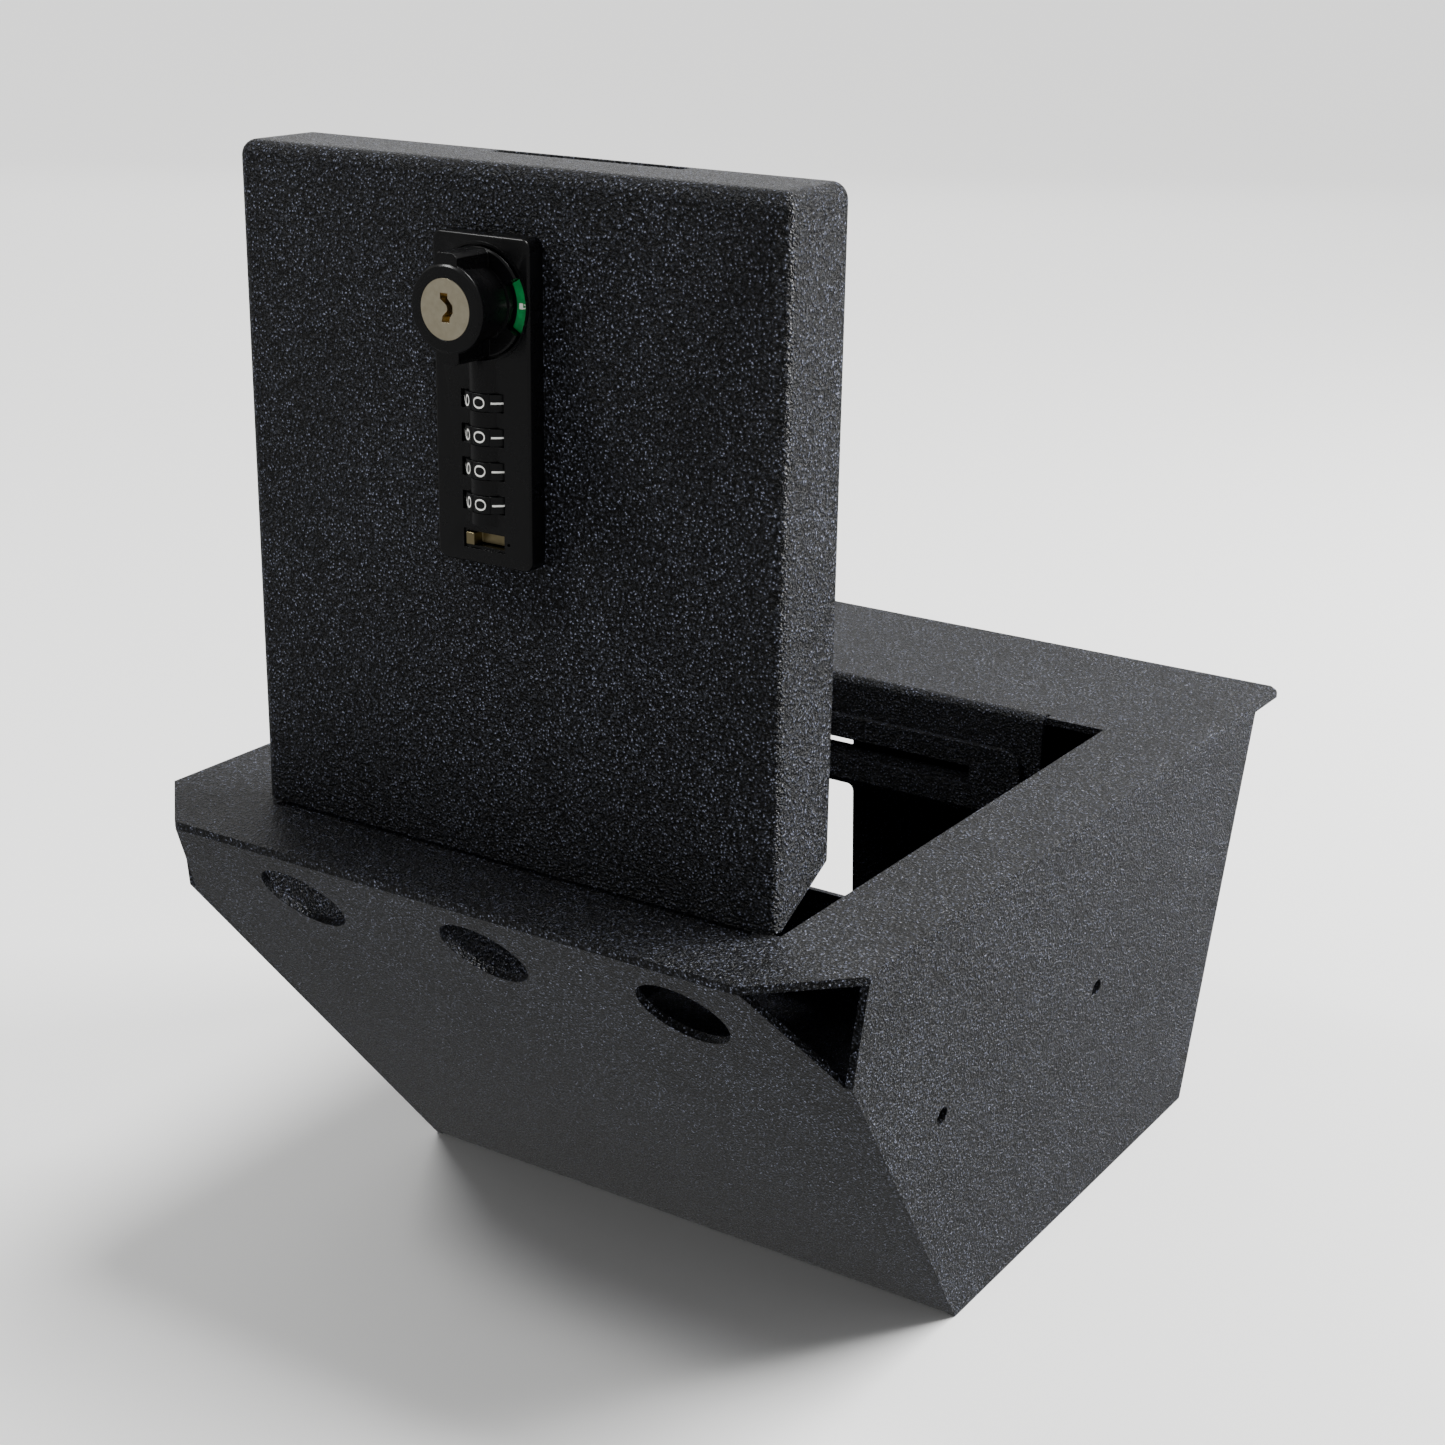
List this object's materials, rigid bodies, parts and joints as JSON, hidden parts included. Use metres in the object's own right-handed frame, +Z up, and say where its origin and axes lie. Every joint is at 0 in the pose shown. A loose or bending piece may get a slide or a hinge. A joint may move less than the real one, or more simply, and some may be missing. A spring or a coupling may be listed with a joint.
{
  "type": "vehicle console safe",
  "caption": "Drop-in steel cash box for a vehicle console: folded flanged body, front-hinged lid standing open, combination cam lock with key override",
  "frame": {"origin": "middle of the base, on the surface the box stands on", "axes": "+X to the right across the front edge, +Y to the back, +Z up; the lid stands open at the front"},
  "size_m": [0.273, 0.346, 0.3927],
  "materials": {
    "top_shell": "fine-textured black powder coat",
    "wrap_panel": "fine-textured black powder coat",
    "strike_plate": "fine-textured black powder coat",
    "hinge_leaf_body": "powder-coated steel leaf",
    "hinge_leaf_lid": "powder-coated steel leaf",
    "hinge_pin": "drawn steel wire",
    "lid_pan": "fine-textured black powder coat",
    "lock_housing": "die-cast zinc, satin black",
    "lock_case": "die-cast zinc, tumbled and zinc plated",
    "case_screws": "zinc plated steel screws",
    "knob": "die-cast zinc, satin black",
    "open_label": "green printed film",
    "locked_label": "red printed film",
    "spindle": "turned steel, zinc plated",
    "blocking_collar": "machined steel",
    "spindle_clip": "spring steel",
    "cam": "stamped steel, zinc plated",
    "cam_washer": "zinc plated steel",
    "cam_screw": "zinc plated steel",
    "detent_ball": "hardened steel ball",
    "ball_spring": "spring steel wire",
    "cylinder_sleeve": "turned brass",
    "key_plug": "turned brass with a satin nickel face",
    "wafer_tumblers": "stamped brass wafers",
    "dial_shaft": "drawn steel rod",
    "fence_bar": "stamped steel",
    "dial_spring": "spring steel strip",
    "code_slider": "nickel plated brass",
    "dial_1": "zinc wheel, satin black with white figures",
    "code_ring_1": "stamped brass ring",
    "dial_2": "zinc wheel, satin black with white figures",
    "code_ring_2": "stamped brass ring",
    "dial_3": "zinc wheel, satin black with white figures",
    "code_ring_3": "stamped brass ring",
    "dial_4": "zinc wheel, satin black with white figures",
    "code_ring_4": "stamped brass ring"
  },
  "bodies": {
    "box": {"top_shell": "top_shell", "wrap_panel": "wrap_panel", "strike_plate": "strike_plate", "hinge_leaf_body": "hinge_leaf_body", "hinge_pin": "hinge_pin"},
    "lid": {"lid_pan": "lid_pan", "hinge_leaf_lid": "hinge_leaf_lid", "lock_housing": "lock_housing", "lock_case": "lock_case", "case_screws": "case_screws", "open_label": "open_label", "locked_label": "locked_label", "dial_shaft": "dial_shaft", "dial_spring": "dial_spring", "detent_ball": "detent_ball", "ball_spring": "ball_spring"},
    "knob": {"knob": "knob", "cylinder_sleeve": "cylinder_sleeve", "spindle": "spindle", "blocking_collar": "blocking_collar", "spindle_clip": "spindle_clip", "cam": "cam", "cam_washer": "cam_washer", "cam_screw": "cam_screw"},
    "plug": {"key_plug": "key_plug", "wafer_tumblers": "wafer_tumblers"},
    "fence": {"fence_bar": "fence_bar"},
    "slider": {"code_slider": "code_slider"},
    "dial_1": {"dial_1": "dial_1", "code_ring_1": "code_ring_1"},
    "dial_2": {"dial_2": "dial_2", "code_ring_2": "code_ring_2"},
    "dial_3": {"dial_3": "dial_3", "code_ring_3": "code_ring_3"},
    "dial_4": {"dial_4": "dial_4", "code_ring_4": "code_ring_4"}
  },
  "joints": [
    {"name": "lid_hinge", "type": "hinge", "parent": "box", "child": "lid", "pos_m": [0, -0.1371, 0.1745], "axis": [-1, 0, 0], "range_deg": [0, 90]},
    {"name": "knob_turn", "type": "hinge", "parent": "lid", "child": "knob", "pos_m": [0, -0.1396, 0.3542], "axis": [0, -1, 0], "range_deg": [0, 90]},
    {"name": "key_turn", "type": "hinge", "parent": "knob", "child": "plug", "pos_m": [0, -0.1396, 0.3542], "axis": [0, 1, 0], "range_deg": [0, 90]},
    {"name": "fence_slide", "type": "slide", "parent": "lid", "child": "fence", "axis": [0, -1, 0], "range_m": [0, 0.0012]},
    {"name": "code_slide", "type": "slide", "parent": "lid", "child": "slider", "axis": [1, 0, 0], "range_m": [0, 0.005]},
    {"name": "dial_1_turn", "type": "hinge", "parent": "lid", "child": "dial_1", "pos_m": [0, -0.1398, 0.3253], "axis": [0, 0, 1], "continuous": true},
    {"name": "dial_2_turn", "type": "hinge", "parent": "lid", "child": "dial_2", "pos_m": [0, -0.1398, 0.3151], "axis": [0, 0, 1], "continuous": true},
    {"name": "dial_3_turn", "type": "hinge", "parent": "lid", "child": "dial_3", "pos_m": [0, -0.1398, 0.3049], "axis": [0, 0, 1], "continuous": true},
    {"name": "dial_4_turn", "type": "hinge", "parent": "lid", "child": "dial_4", "pos_m": [0, -0.1398, 0.2947], "axis": [0, 0, 1], "continuous": true}
  ],
  "couplings": [
    {"joint": "fence_slide", "follows": "knob_turn", "m_per_rad": 0.000763}
  ]
}
